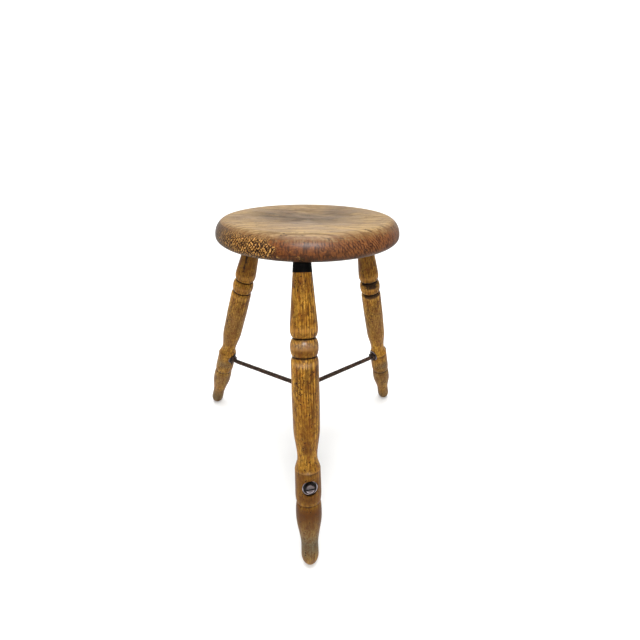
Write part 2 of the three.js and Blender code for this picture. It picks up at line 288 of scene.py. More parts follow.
def seat_wood():
    """Waxed elm: the grain runs left to right, and the edge is redder, with strokes across it."""
    shade = Shade("seat_wood")
    place = shade.place()
    edge_stroke = srgb(38, 18, 8)
    grey_brown_darkening = srgb(54, 44, 32)
    dark_dash = srgb(50, 32, 18)
    pit = srgb(30, 17, 10)

    clouds = shade.noise(shade.scaled(place, (14, 26, 26)), 4, 0.6)
    blotches = shade.noise(shade.scaled(place, (34, 52, 52)), 5, 0.65)
    mottle = shade.noise(shade.scaled(place, (260, 420, 420)), 3, 0.7)
    broken = shade.noise(shade.scaled(place, (150, 150, 150)), 3, 0.6)
    fibres = shade.noise(shade.scaled(place, (34, 480, 480), GRAIN_TURN), 5, 0.75)
    dashes = shade.noise(shade.scaled(place, (55, 210, 210), DASH_TURN), 3, 0.6)
    dashes = shade.span(dashes, 0.61, 0.65)
    stroke = shade.noise(shade.scaled(shade.vector("skin"), (430, 430, 95)), 3, 0.65)

    # the rounded edge, red-brown and in places gold
    top = seat_top(shade, clouds, mottle, blotches, fibres)
    patchy = shade.plus(shade.value("gold"), shade.times(shade.plus(blotches, -0.5), 1.2))
    edge = shade.tint(shade.span(patchy, 0.2, 0.42), seat_red_edge(shade, clouds, mottle, broken),
                      seat_gold_edge(shade, mottle, broken))
    edge = shade.tint(shade.times(shade.span(stroke, 0.5, 0.58), 0.7), edge, edge_stroke)

    # it meets the top along a ragged line
    raggedness = shade.plus(shade.times(shade.plus(stroke, -0.5), 0.7),
                            shade.times(shade.plus(mottle, -0.5), 0.9))
    raggedness = shade.times(raggedness, shade.span(shade.value("edge"), 0.0, 0.1))
    ragged = shade.plus(shade.value("edge"), raggedness)
    colour = shade.tint(shade.span(ragged, 0.25, 0.85), top, edge)

    # grey-brown darkening low on the left and right sides and towards the bottom of the edge, dark dashes
    # along the grain and small pits
    colour = shade.tint(shade.times(shade.value("dark_sides_and_bottom"), 0.85), colour, grey_brown_darkening)
    colour = shade.tint(shade.times(dashes, 0.7), colour, dark_dash)
    pits = shade.span(shade.cells(shade.scaled(place, (60, 120, 120))), 0.16, 0.09)
    pits = shade.times(pits, shade.span(blotches, 0.5, 0.56))
    colour = shade.tint(pits, colour, pit)

    shade.feed(shade.surface["Base Color"], colour)
    shade.feed(shade.surface["Roughness"], shade.span(clouds, 0.3, 0.7, 0.4, 0.55))
    shade.feed(shade.surface["Specular IOR Level"], 0.06)
    shade.feed(shade.surface["Coat Weight"], shade.times(shade.value("polish"), 0.9))
    shade.feed(shade.surface["Coat Roughness"], 0.36)
    height = shade.plus(shade.times(stroke, shade.value("edge")), shade.times(fibres, 0.6))
    height = shade.plus(height, shade.times(shade.plus(dashes, pits), -0.7))
    shade.bump(height, FINE_BUMP)
    return shade.material


def leg_wood():
    """Waxed honey-brown wood with its grain along the leg, dark in the turned grooves."""
    shade = Shade("leg_wood")
    place = shade.place()
    honey = srgb(150, 98, 26)
    light_honey = srgb(208, 154, 56)
    rust_brown = srgb(142, 72, 18)
    age_and_shade_brown = srgb(92, 58, 18)
    warm_brown = srgb(76, 40, 2)
    weathered_grey = srgb(98, 88, 64)
    mottled_brown = srgb(88, 48, 9)
    dark_grain = srgb(62, 34, 7)
    speck = srgb(28, 14, 6)
    dark_stain_and_shade = srgb(26, 13, 6)
    groove_line = srgb(26, 14, 6)
    rubbed_wood = srgb(200, 146, 80)

    pith = shade.scaled(place, (1, 1, 0.14), shift=(0.05, 0.035, 0))
    late = shade.span(shade.rings(pith, 0.0036, "Z", 3.0, 0.5), 0.62, 0.85)
    fibres = shade.noise(shade.scaled(place, (310, 310, 22)), 4, 0.65)
    hairs = shade.noise(shade.scaled(place, (620, 620, 40)), 3, 0.7)
    streaks = shade.noise(shade.scaled(place, (190, 190, 9)), 3, 0.55)
    clouds = shade.noise(shade.scaled(place, (75, 75, 30)), 5, 0.65)
    mottle = shade.noise(shade.scaled(place, (270, 270, 150)), 4, 0.7)
    rusty = shade.noise(shade.scaled(place, (120, 120, 60), shift=(3, 1, 2)), 4, 0.6)

    colour = shade.tint(shade.span(clouds, 0.32, 0.68), honey, light_honey)
    colour = shade.tint(shade.times(shade.span(rusty, 0.52, 0.66), 0.6), colour, rust_brown)
    # brown darkening and warm brown patches; low on the front leg both are painted shade
    colour = shade.tint(shade.times(shade.value("age_and_shade"), 0.75), colour, age_and_shade_brown)
    colour = shade.tint(shade.times(shade.value("warm"), 0.9), colour, warm_brown)
    colour = shade.tint(shade.value("grey"), colour, weathered_grey)
    colour = shade.tint(shade.times(shade.span(mottle, 0.46, 0.56), 0.55), colour, mottled_brown)

    # the grain shows least where the wood has gone grey
    lines = shade.either(late, shade.span(fibres, 0.5, 0.58))
    lines = shade.either(lines, shade.times(shade.span(hairs, 0.5, 0.62), 0.5))
    lines = shade.either(lines, shade.times(shade.span(streaks, 0.5, 0.7), 0.6))
    colour = shade.tint(shade.times(lines, shade.value("lined")), colour, dark_grain)

    # worm holes and short dark dashes, most where the wood is pitted
    specks = shade.noise(shade.scaled(place, (400, 400, 260)), 3, 0.65)
    specks = shade.plus(specks, shade.times(shade.value("pitted"), 0.1))
    specks = shade.times(shade.span(specks, 0.61, 0.65), shade.span(clouds, 0.36, 0.46))
    colour = shade.tint(shade.times(specks, 0.9), colour, speck)

    # dark stains with ragged edges, which also carry the painted shade in the spot faces, then the turned
    # lines and the rubbed corners
    ragged = shade.plus(shade.value("dark"), shade.times(shade.plus(streaks, -0.5), 0.5))
    ragged = shade.plus(ragged, shade.times(shade.plus(mottle, -0.5), 0.8))
    dark = shade.times(shade.span(ragged, 0.25, 0.6), shade.span(shade.value("dark"), 0.05, 0.25))
    colour = shade.tint(shade.times(dark, 0.92), colour, dark_stain_and_shade)
    colour = shade.tint(shade.value("groove"), colour, groove_line)
    colour = shade.tint(shade.times(shade.value("rubbed"), 0.2), colour, rubbed_wood)

    shade.feed(shade.surface["Base Color"], colour)
    shade.feed(shade.surface["Roughness"], shade.span(clouds, 0.3, 0.7, 0.38, 0.5))
    shade.feed(shade.surface["Specular IOR Level"], 0.09)
    shade.feed(shade.surface["Coat Weight"], shade.value("polish"))
    shade.feed(shade.surface["Coat Roughness"], 0.27)
    shade.feed(shade.surface["Coat IOR"], 1.9)
    shade.bump(shade.plus(shade.times(fibres, 0.6), shade.times(specks, -0.8)), FINE_BUMP)
    return shade.material


def iron(name, dark, light, roughness):
    """Old iron: brown-grey, pitted and rusty in places, with a painted highlight and painted shade where
    the mesh marks them.
    """
    shade = Shade(name)
    place = shade.place()
    rust_brown = srgb(96, 62, 42)
    painted_highlight_colour = srgb(224, 212, 220)
    painted_shade_colour = srgb(14, 10, 9)
    mottle = shade.noise(shade.scaled(place, (260, 260, 260)), 5, 0.6)
    pitting = shade.noise(shade.scaled(place, (1100, 1100, 1100)), 3, 0.6)
    rust = shade.span(shade.noise(shade.scaled(place, (120, 120, 120)), 4, 0.7), 0.5, 0.66)
    colour = shade.tint(shade.span(mottle, 0.35, 0.65), dark, light)
    colour = shade.tint(shade.times(rust, 0.6), colour, rust_brown)
    # a painted highlight and painted shade where the mesh marks them; the painted shade also takes away
    # the metal's shine
    colour = shade.tint(shade.value("painted_highlight"), colour, painted_highlight_colour)
    colour = shade.tint(shade.value("painted_shade"), colour, painted_shade_colour)
    metal = shade.maths("SUBTRACT", shade.span(rust, 0.2, 0.8, 0.85, 0.25), shade.value("painted_shade"))
    shade.feed(shade.surface["Base Color"], colour)
    shade.feed(shade.surface["Metallic"], shade.either(metal, 0.0))
    shade.feed(shade.surface["Specular IOR Level"], 0.2)
    shade.feed(shade.surface["Roughness"], shade.span(mottle, 0.3, 0.7, roughness - 0.1, roughness + 0.12))
    shade.bump(shade.plus(mottle, shade.times(pitting, 0.5)), 0.2 * MM)
    return shade.material


def black_wrap():
    """Black tape with a fine weave."""
    shade = Shade("black_wrap")
    place = shade.place()
    weave = shade.noise(shade.scaled(place, (1400, 1400, 500)), 2, 0.5)
    scuffs = shade.span(shade.noise(shade.scaled(place, (130, 130, 260)), 4, 0.6), 0.55, 0.75)
    black = srgb(4, 3, 3)
    scuffed = srgb(26, 23, 21)
    colour = shade.tint(shade.times(scuffs, 0.3), black, scuffed)
    shade.feed(shade.surface["Base Color"], colour)
    shade.feed(shade.surface["Roughness"], shade.span(scuffs, 0.0, 1.0, 0.6, 0.8))
    shade.feed(shade.surface["Specular IOR Level"], 0.04)
    shade.bump(weave, 0.12 * MM)
    return shade.material


# ---- Mesh building ---------------------------------------------------


def add_object(name, data):
    """A new object in the scene."""
    thing = bpy.data.objects.new(name, data)
    bpy.context.collection.objects.link(thing)
    return thing


def new_piece(name, mesh, material, nodes, place=Matrix.Identity(4)):
    """Adds a mesh as a piece of the stool that stands for CAD nodes, moved to its place.

    The mesh keeps the coordinates that it was built in, for its material to read.
    """
    paint(mesh, "own", mesh_points(mesh))
    mesh.transform(place)
    mesh.materials.clear()
    mesh.materials.append(material)
    piece = add_object(name, mesh)
    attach(piece, "root")
    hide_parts(*nodes)
    return piece


def turned_mesh(name, outline, sides, closed=False):
    """A mesh turned about +Z from (height, radius) pairs listed from the top down.

    An open outline is capped flat at both ends. A closed one joins its last pair to its first.
    """
    angles = np.arange(sides) * 2 * math.pi / sides
    heights, radii = np.array(outline).T
    points = np.stack([
        np.outer(radii, np.sin(angles)),
        np.outer(radii, -np.cos(angles)),
        np.outer(heights, np.ones(sides)),
    ], axis=2).reshape(-1, 3)
    rings = len(outline)
    faces = []
    for ring in range(rings if closed else rings - 1):
        above = ring * sides
        below = (ring + 1) % rings * sides
        for side in range(sides):
            beside = (side + 1) % sides
            faces.append((above + side, below + side, below + beside, above + beside))
    if not closed:
        faces.append(tuple(range(sides)))
        faces.append(tuple(reversed(range((rings - 1) * sides, rings * sides))))
    mesh = bpy.data.meshes.new(name)
    mesh.from_pydata(points.tolist(), [], faces)
    return mesh


def mesh_points(mesh):
    points = np.empty(len(mesh.vertices) * 3)
    mesh.vertices.foreach_get("co", points)
    return points.reshape(-1, 3)


def move_points(mesh, points):
    mesh.vertices.foreach_set("co", points.ravel())
    mesh.update()


def paint(mesh, name, values):
    """Stores a number, or a vector, per corner of the mesh for its material to read."""
    kind, field = ("FLOAT", "value") if values.ndim == 1 else ("FLOAT_VECTOR", "vector")
    layer = mesh.attributes.new(name, kind, "POINT")
    layer.data.foreach_set(field, values.astype(np.float32).ravel())


def smooth(mesh, sharp_angle):
    """Smooth shading, with edges sharper than an angle in degrees kept crisp."""
    mesh.polygons.foreach_set("use_smooth", [True] * len(mesh.polygons))
    mesh.set_sharp_from_angle(angle=math.radians(sharp_angle))


def applied(body, helpers=()):
    """The mesh of an object with its modifiers applied. The object and its helpers are removed."""
    bpy.context.view_layer.update()
    depsgraph = bpy.context.evaluated_depsgraph_get()
    made = bpy.data.meshes.new_from_object(body.evaluated_get(depsgraph))
    made.name = body.data.name
    for helper in (body, *helpers):
        bpy.data.objects.remove(helper)
    return made


def combined(mesh, cutters, operation):
    """The mesh with others cut from it, or cut down to them, by an exact boolean."""
    body = add_object("body", mesh)
    others = []
    for cutter in cutters:
        other = add_object("cutter", cutter)
        others.append(other)
        modifier = body.modifiers.new("cut", "BOOLEAN")
        modifier.operation = operation
        modifier.object = other
        modifier.solver = "EXACT"
    return applied(body, others)


def bevelled(mesh, width):
    """The mesh with every edge sharper than 30 degrees rounded over."""
    body = add_object("body", mesh)
    modifier = body.modifiers.new("round", "BEVEL")
    modifier.width = width
    modifier.segments = 2
    modifier.limit_method = "ANGLE"
    modifier.angle_limit = math.radians(30)
    modifier.harden_normals = False
    return applied(body)


def block(name, low, high):
    """A box between two corners."""
    shape = bmesh.new()
    bmesh.ops.create_cube(shape, size=1)
    size = Vector(high) - Vector(low)
    centre = (Vector(high) + Vector(low)) / 2
    bmesh.ops.scale(shape, vec=size, verts=shape.verts)
    bmesh.ops.translate(shape, vec=centre, verts=shape.verts)
    mesh = bpy.data.meshes.new(name)
    shape.to_mesh(mesh)
    shape.free()
    return mesh


def quarter(start, end, along_first, steps=14):
    """Points of a convex quarter ellipse. It sets off along the axis, or square to it."""
    points = []
    for step in range(steps + 1):
        angle = step / steps * math.pi / 2
        quick = math.sin(angle)
        slow = 1 - math.cos(angle)
        along, across = (quick, slow) if along_first else (slow, quick)
        points.append((
            start[0] + (end[0] - start[0]) * along,
            start[1] + (end[1] - start[1]) * across,
        ))
    return points


def eased(start, end):
    """Points of an S-curve that runs along the axis at both ends."""
    steps = 24
    points = []
    for step in range(steps + 1):
        along = step / steps
        blend = along * along * (3 - 2 * along)
        points.append((start[0] + (end[0] - start[0]) * along, start[1] + (end[1] - start[1]) * blend))
    return points


def distance_walked(outline):
    """How far along an outline each of its points is."""
    return np.append(0, np.cumsum(np.linalg.norm(np.diff(outline, axis=0), axis=1)))


def evenly(outline, spacing, softness=0.0):
    """The outline with its points a spacing apart, and its corners worn by a softness."""
    outline = np.array(outline, float)
    apart = np.append(True, np.linalg.norm(np.diff(outline, axis=0), axis=1) > 1e-9)
    outline = outline[apart]
    walked = distance_walked(outline)
    steps = round(walked[-1] / spacing)
    even = np.linspace(0, walked[-1], steps + 1)
    points = np.stack([np.interp(even, walked, column) for column in outline.T], axis=1)
    if softness:
        reach = max(1, round(3 * softness / spacing))
        weights = np.exp(-0.5 * (np.arange(-reach, reach + 1) * spacing / softness) ** 2)
        weights /= weights.sum()
        padded = np.concatenate([
            2 * points[:1] - points[reach:0:-1],
            points,
            2 * points[-1:] - points[-2:-reach - 2:-1],
        ])
        points = np.stack([np.convolve(column, weights, "valid") for column in padded.T], axis=1)
    return points


def waviness(points, size, seed):
    """Slow noise between -1 and 1 at each point."""
    offset = Vector((seed * 7.3, seed * 3.1, seed * 5.7))
    return np.array([noise.noise(Vector(point) / size + offset) for point in points])


def blob(along, across, centre, size):
    """A soft round patch: 1 at its centre and fading over its size, both given as pairs."""
    return np.exp(-((along - centre[0]) / size[0]) ** 2 - ((across - centre[1]) / size[1]) ** 2)


# ---- Seat ------------------------------------------------------------

ROUNDING_WIDTH = 21 * MM
TOP_ROUNDING_HEIGHT = 25 * MM
HOLLOW_CENTRE = (5 * MM, 14 * MM)
HOLLOW_RADIUS = 98 * MM
HOLLOW_DEPTH = 5 * MM
HOLLOW_RIM = 0.5 * MM
SEAT_SIDES = 384

# Patches of a look on the seat's edge: the middle of each and its size, in degrees round the edge from
# the front and in fractions of the way down it.
EDGE_PATCHES = {
    "gold": ((-39, 0.52), (24, 0.48)),
    "hatched": ((34, 0.5), (26, 0.5)),
    "polish": ((2, 0.34), (22, 0.24)),
}

# Stains on the seat's top: the strength of each, then its middle and its size in millimetres.
STAINS = [
    (0.95, (-2, -6), (64, 48)),
    (0.6, (56, 60), (38, 42)),
    (0.5, (-42, 42), (38, 38)),
    (0.35, (-70, 14), (30, 26)),
]


def seat_outline(radius, thickness):
    """(height, radius) pairs from the middle of the top, round the edge, to the underside."""
    flat = radius - ROUNDING_WIDTH
    upper = quarter((0, flat), (-TOP_ROUNDING_HEIGHT, radius), False, 30)
    lower = quarter((-TOP_ROUNDING_HEIGHT, radius), (-thickness, flat), True, 30)
    top = evenly([(0, 1 * MM), (0, flat)], 2.4 * MM)
    edge = evenly(upper + lower[1:], 0.9 * MM)
    underside = evenly([(-thickness, flat), (-thickness, 1 * MM)], 6 * MM)
    return np.concatenate([top, edge[1:], underside[1:]])


def make_seat(material):
    low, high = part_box("seat")
    radius = (high.x - low.x) / 2
    thickness = high.z - low.z
    centre = Vector(((low.x + high.x) / 2, (low.y + high.y) / 2, high.z))
    outline = seat_outline(radius, thickness)
    mesh = turned_mesh("seat", outline, SEAT_SIDES)
    paint_seat(mesh, outline, radius, thickness)

    # the dish, with a soft rim, and sides that aren't quite round
    points = mesh_points(mesh)
    x, y, z = points.T.copy()
    out = np.hypot(x, y)
    reach = np.hypot(x - HOLLOW_CENTRE[0], y - HOLLOW_CENTRE[1]) / HOLLOW_RADIUS
    bowl = HOLLOW_DEPTH * (1 - reach ** 2)
    dip = HOLLOW_RIM * np.logaddexp(0, bowl / HOLLOW_RIM) * (z > -1 * MM)
    on_edge = np.clip((out - radius + 2 * ROUNDING_WIDTH) / ROUNDING_WIDTH, 0, 1)
    wobble = (waviness(points, 60 * MM, 1) * 0.5 - 0.6) * 0.5 * MM * on_edge
    points[:, 0] += wobble * x / np.maximum(out, MM)
    points[:, 1] += wobble * y / np.maximum(out, MM)
    points[:, 2] -= dip
    move_points(mesh, points)
    smooth(mesh, 60)
    return new_piece("seat_board", mesh, material, ["seat"], Matrix.Translation(centre))


def paint_seat(mesh, outline, radius, thickness):
    """Where each look of the seat lies, before it is dished."""
    x, y, z = mesh_points(mesh).T
    out = np.hypot(x, y)
    around = np.arctan2(x, -y)
    down = np.clip(-z / thickness, 0, 1)
    off_flat = out > radius - ROUNDING_WIDTH

    # where each point is on the round edge, and on the edge unrolled
    walked = np.repeat(distance_walked(outline), SEAT_SIDES)
    paint(mesh, "skin", np.stack([radius * np.sin(around), radius * np.cos(around), walked], 1))
    paint(mesh, "flat_skin", np.stack([radius * around, walked, 0 * walked], 1))

    underneath = (out < radius - ROUNDING_WIDTH) & (z < -thickness / 2)
    paint(mesh, "edge", np.clip(down * 2.6, 0, 1 - 0.75 * underneath))
    for look, (middle_of_patch, size) in EDGE_PATCHES.items():
        paint(mesh, look, blob(np.degrees(around), down, middle_of_patch, size))
    paint(mesh, "low", np.clip(down * 3 - 1.5, 0, 1) * off_flat)
    # the edge turns darker grey-brown towards its left and right sides and towards its bottom
    sides = np.clip(np.abs(np.sin(around)) * 3 - 2.1 - 0.2 * np.sin(around), 0, 1)
    paint(mesh, "dark_sides_and_bottom", np.clip(sides + np.clip(down * 2 - 1.2, 0, 1), 0, 1) * (z < -4 * MM))

    # the top is stained in patches, and a little all over towards the back
    worn = 0.22 * np.clip((y + 95 * MM) / (60 * MM), 0, 1)
    for strength, middle_of_stain, size in STAINS:
        worn += strength * blob(x / MM, y / MM, middle_of_stain, size)
    paint(mesh, "worn", np.clip(worn, 0, 1) * (z > -10 * MM))


# ---- Legs ------------------------------------------------------------

# Stations and radii of the turned outline, in millimetres.
INSIDE_SEAT = -5
NECK_RADIUS = 12.4
SHOULDER = (93, 20.2)
CONE_SLOPE = (SHOULDER[1] - NECK_RADIUS) / SHOULDER[0]
UPPER_GROOVE = (105.5, 15)
BALL = (119, 20.6)
LOWER_GROOVE = (132.3, 16.4)
BODY_START = (141, 20.2)
BODY_MIDDLE = (190, 20.5)
BODY_END = (240, 19.9)
WAIST = (286, 15.2)
COLLAR_START = (303.5, 19.5)
COLLAR_END = (342, 20)
SCRIBED_GROOVE = (357.5, 17.6)
BULB = (377, 19.9)
ANKLE_FROM_TIP = 33
ANKLE_RADIUS = 13.4
FOOT_FROM_TIP = 17
FOOT_RADIUS = 13.7
FOOT_WEAR = 2.2
FOOT_END_RADIUS = 0.6
LEG_SIDES = 112

FLOOR_GAP = 0.05 * MM
SPOT_FACE_RADIUS = 12.1 * MM
SPOT_FACE_FROM_AXIS = 14.2 * MM


def leg_outline(length):
    """(height, radius) pairs down a leg, in metres, from just inside the seat to the foot."""
    tip = length / MM
    stations = [
        (INSIDE_SEAT, NECK_RADIUS + CONE_SLOPE * INSIDE_SEAT),
        (SHOULDER[0] - 8, SHOULDER[1] - CONE_SLOPE * 5),
        *quarter(SHOULDER, UPPER_GROOVE, True),
        *quarter(UPPER_GROOVE, BALL, False),
        *quarter(BALL, LOWER_GROOVE, True),
        *quarter(LOWER_GROOVE, BODY_START, False),
        BODY_MIDDLE,
        *eased(BODY_END, WAIST),
        (WAIST[0] + 5, WAIST[1] + 0.4),
        COLLAR_START,
        *quarter(COLLAR_END, SCRIBED_GROOVE, True),
        *quarter(SCRIBED_GROOVE, BULB, False),
        *eased((BULB[0] + 4, BULB[1]), (tip - ANKLE_FROM_TIP, ANKLE_RADIUS)),
        *quarter((tip - FOOT_FROM_TIP, FOOT_RADIUS), (tip + FOOT_WEAR, FOOT_END_RADIUS), True),
    ]
    even = evenly(stations, 0.8, 0.55)
    return np.stack([-even[:, 0] * MM, even[:, 1] * MM], axis=1)


# Patches on each leg: the look, its station and its angle round the leg from the front towards
# the right in degrees, its size down and round the leg in millimetres, and its strength.
ALL_ROUND = 1000
LEG_PATCHES = {
    "front": [
        ("dark", 344, 4, 9, 9, 0.4), ("dark", 306, 14, 8, 7, 0.4),
        # low on the front leg, from about station 270 down, the warm and brown-darkening patches are
        # painted shade
        ("warm", 30, -20, 16, 12, 0.6), ("warm", 122, -8, 8, 20, 0.75), ("warm", 268, -6, 16, 8, 0.8),
        ("warm", 306, -14, 9, 12, 0.8), ("warm", 322, 0, 30, 14, 0.6), ("warm", 346, 2, 9, 15, 1.0),
        ("warm", 370, 0, 17, ALL_ROUND, 1.0), ("warm", 388, 0, 14, 12, 0.8),
        ("age_and_shade", 119, 0, 12, ALL_ROUND, 0.35), ("age_and_shade", 230, 0, 60, ALL_ROUND, 0.3),
        ("age_and_shade", 328, 0, 30, ALL_ROUND, 1.0), ("age_and_shade", 380, 0, 22, ALL_ROUND, 1.0),
        ("grey", 428, 0, 33, ALL_ROUND, 1.0), ("grey", 480, 0, 26, ALL_ROUND, 0.9),
        ("pitted", 25, -30, 16, 8, 0.8), ("pitted", 170, -24, 26, 9, 1.0),
        ("pitted", 205, 20, 40, 6, 0.4), ("pitted", 270, -8, 14, 8, 0.7),
        ("pitted", 292, 0, 12, 14, 0.6),
    ],
    "left": [
        ("dark", 20, 10, 22, 3, 0.5), ("dark", 55, -12, 42, 3, 0.6), ("dark", 150, -10, 10, 12, 0.4),
        ("dark", 312, 62, 18, 10, 0.9),
        ("warm", 45, 0, 50, ALL_ROUND, 0.8), ("warm", 118, -10, 6, 14, 0.6),
        ("warm", 264, -30, 22, 10, 0.6), ("warm", 300, -30, 9, 14, 0.9),
        ("grey", 210, 10, 60, ALL_ROUND, 0.45), ("grey", 330, -10, 16, 30, 0.8),
        ("grey", 380, 0, 40, ALL_ROUND, 0.6), ("grey", 450, 0, 40, ALL_ROUND, 0.9),
        ("pitted", 205, -40, 35, 7, 1.0), ("pitted", 290, 0, 12, 20, 0.6),
    ],
    "right": [
        ("dark", 107, 0, 6, 22, 1.0), ("dark", 114, 10, 6, 18, 0.7), ("dark", 136, 0, 5, 22, 1.0),
        ("dark", 306, -62, 16, 10, 1.0),
        ("warm", 30, 5, 30, 12, 0.6), ("warm", 308, 15, 5, 18, 0.9), ("warm", 358, 5, 7, 16, 0.9),
        ("age_and_shade", 50, 0, 50, ALL_ROUND, 0.6), ("age_and_shade", 360, 0, 40, ALL_ROUND, 0.4),
        ("grey", 210, 0, 60, ALL_ROUND, 0.4), ("grey", 335, 20, 14, 24, 0.8),
        ("grey", 380, 0, 40, ALL_ROUND, 0.5), ("grey", 450, 0, 40, ALL_ROUND, 0.8),
        ("pitted", 180, -15, 26, 10, 0.9), ("pitted", 345, 0, 20, 16, 0.5),
        ("pitted", 392, 0, 16, 8, 1.0),
    ],
}
LOOKS = ("dark", "warm", "age_and_shade", "grey", "pitted")

# Shine on the front leg: the strength of each patch, its station and angle, and its size.
SHINES = [
    (1.0, (BALL[0] - 5, 0), (4.5, 45)),
    (1.0, (BODY_START[0] + 1, -4), (3.5, 30)),
    (0.7, (COLLAR_START[0] - 1, 2), (2, 16)),
]


def make_leg(leg, material):
    top, up = leg_axis(leg)
    place = upright(top, up)
    outline = leg_outline(top.z / up.z)
    mesh = turned_mesh(f"leg_{leg}", outline, LEG_SIDES)

    # hand turning is never quite true
    points = mesh_points(mesh)
    seed = LEGS.index(leg) + 2
    out = np.hypot(points[:, 0], points[:, 1])
    slow = waviness(points, 45 * MM, seed) * 0.5 - 0.5
    shrink = 1 + slow * 0.35 * MM / np.maximum(out, 5 * MM)
    points[:, :2] *= shrink[:, None]
    move_points(mesh, points)

    # spot faces for the washers
    crossing, outward = bore_line(leg)
    cylinder = [(3 * SPOT_FACE_RADIUS, SPOT_FACE_RADIUS), (SPOT_FACE_FROM_AXIS, SPOT_FACE_RADIUS)]
    cutters = []
    for direction in (outward, -outward):
        cutter = turned_mesh("cutter", cylinder, 72)
        cutter.transform(place.inverted() @ facing(crossing, direction))
        cutters.append(cutter)
    mesh = combined(mesh, cutters, "DIFFERENCE")

    # the foot stands flat on the floor
    turn = np.array(place.to_3x3())
    standing = mesh_points(mesh) @ turn.T + np.array(place.translation)
    standing[:, 2] = np.maximum(standing[:, 2], FLOOR_GAP)
    move_points(mesh, (standing - np.array(place.translation)) @ turn)

    paint_leg(mesh, leg, outline)
    smooth(mesh, 38)
    return new_piece(f"turned_leg_{leg}", mesh, material, [f"leg_{leg}"], place)


def paint_leg(mesh, leg, outline):
    """Where each look of a leg lies. Stations and distances are in millimetres, angles in degrees."""
    points = mesh_points(mesh)
    station = -points[:, 2] / MM
    out = np.hypot(points[:, 0], points[:, 1]) / MM
    angle = np.degrees(np.arctan2(points[:, 0], -points[:, 1]))
    nowhere = np.zeros(len(points))

    # the turned lines are dark, and so is the collar's upper lip in places: partly stain, partly painted
    # shade in the creases; on the front leg the scribed groove is painted shade, darkest where it faces
    # the front
    facing_front = 0.3 + 0.7 * np.exp(-(angle / 22) ** 2) if leg == "front" else 1
    groove = nowhere
    for turned, width, strength in ((UPPER_GROOVE, 1.6, 1), (LOWER_GROOVE, 1.5, 1),
                                    (SCRIBED_GROOVE, 1.2, facing_front)):
        groove = np.maximum(groove, strength * np.exp(-((station - turned[0]) / width) ** 2))
    lip = np.exp(-((station - COLLAR_START[0] - 1.5) / 1.2) ** 2)
    groove = np.maximum(groove, lip * np.clip(0.3 + waviness(points, 14 * MM, 9), 0, 0.8))
    paint(mesh, "groove", np.clip(groove, 0, 1))

    # what stands proud is rubbed, and on the front leg it shines
    rubbed = nowhere
    for turned, width in ((SHOULDER, 4), (BALL, 3), (BODY_START, 3), (COLLAR_START, 1.5)):
        rubbed = np.maximum(rubbed, np.exp(-((station - turned[0]) / width) ** 2))
    paint(mesh, "rubbed", rubbed)
    polish = nowhere
    for strength, place, size in SHINES if leg == "front" else ():
        polish = np.maximum(polish, strength * blob(station, angle, place, size))
    paint(mesh, "polish", polish)

    # the spot faces get painted shade wherever they are cut below the turned outline
    stations = -outline[:, 0] / MM
    radii = outline[:, 1] / MM
    order = np.argsort(stations, kind="stable")
    uncut = np.interp(station, stations[order], radii[order])
    looks = {look: nowhere for look in LOOKS}
    looks["dark"] = np.clip((uncut - out) / 1.2 - 0.4, 0, 1) * (np.abs(station - 315) < 40)

    for look, at, bearing, length, width, strength in LEG_PATCHES[leg]:
        turn = (angle - bearing + 180) % 360 - 180
        round_leg = 0 * turn if width == ALL_ROUND else np.radians(turn) * out
        patch = strength * blob(station, round_leg, (at, 0), (length, width))
        looks[look] = np.maximum(looks[look], patch)
    for look, values in looks.items():
        paint(mesh, look, np.clip(values, 0, 1))

    # the grain's dark lines: crispest on the right and high up, faint where the wood is grey or warm
    crisp = 0.76 + 0.22 * np.sin(np.radians(angle)) - 0.2 * np.clip((station - 150) / 80, 0, 1)
    paint(mesh, "lined", crisp * (1 - 0.65 * np.clip(looks["grey"] + looks["warm"], 0, 1)))


# ---- Black wrap on the front leg's neck ------------------------------

# Stations and thicknesses in millimetres.
BAND_TOP = -4
BAND_END = 15
BAND_THICKNESS = 0.9
BAND_PROUD = 0.12
BAND_SAG = 0.35


def make_band(material):
    """A tape that hugs the neck's cone, its lower edge rounded and uneven."""
    top, up = leg_axis("front")

    def cone(station, margin):
        return -station * MM, (NECK_RADIUS + CONE_SLOPE * station + margin) * MM

    inside = BAND_PROUD - BAND_THICKNESS
    outline = [
        cone(BAND_TOP, inside), cone(BAND_TOP, BAND_PROUD),
        cone(BAND_END - 0.4, BAND_PROUD), cone(BAND_END, BAND_PROUD - 0.3), cone(BAND_END, inside),
    ]
    mesh = turned_mesh("band", outline, LEG_SIDES, closed=True)
    points = mesh_points(mesh)
    sag = waviness(points, 9 * MM, 21) * BAND_SAG * MM
    points[:, 2] += sag * (points[:, 2] < -5 * MM)
    move_points(mesh, points)
    smooth(mesh, 30)
    return new_piece("tape_band", mesh, material, ["neck_band"], upright(top, up))


# ---- Iron stretcher --------------------------------------------------

ROD_RADIUS = 4.65 * MM
ROD_SIDES = 32
ROD_UNEVENNESS = 0.18 * MM
ROD_FROM_HUB_MIDDLE = 8 * MM
ELBOW_FROM_NUT = 6 * MM
ELBOW_REACH = 4 * MM
ELBOW_STEPS = 10

NUT_GAP = 0.1 * MM  # between a nut's seat and the washer's face
NUT_SINK = 0.6 * MM  # how far a nut carries on below its seat, into the washer's dish
NUT_HEIGHT = 7 * MM
NUT_ACROSS_FLATS = 15 * MM
HEAD_RADIUS = 6.5 * MM
HEAD_HEIGHT = 4.6 * MM
SLOT_WIDTH = 2.2 * MM
SLOT_DEPTH = 1.1 * MM

WASHER_RADIUS = 11.5 * MM
WASHER_HOLE = 5.7 * MM
WASHER_RIM = 1.5 * MM
WASHER_DISH = 1.3 * MM

HUB_GAP = 0.1 * MM
HUB_ROUNDING = 3.2 * MM
IRON_SIDES = 64
HUB_SIDES = 96


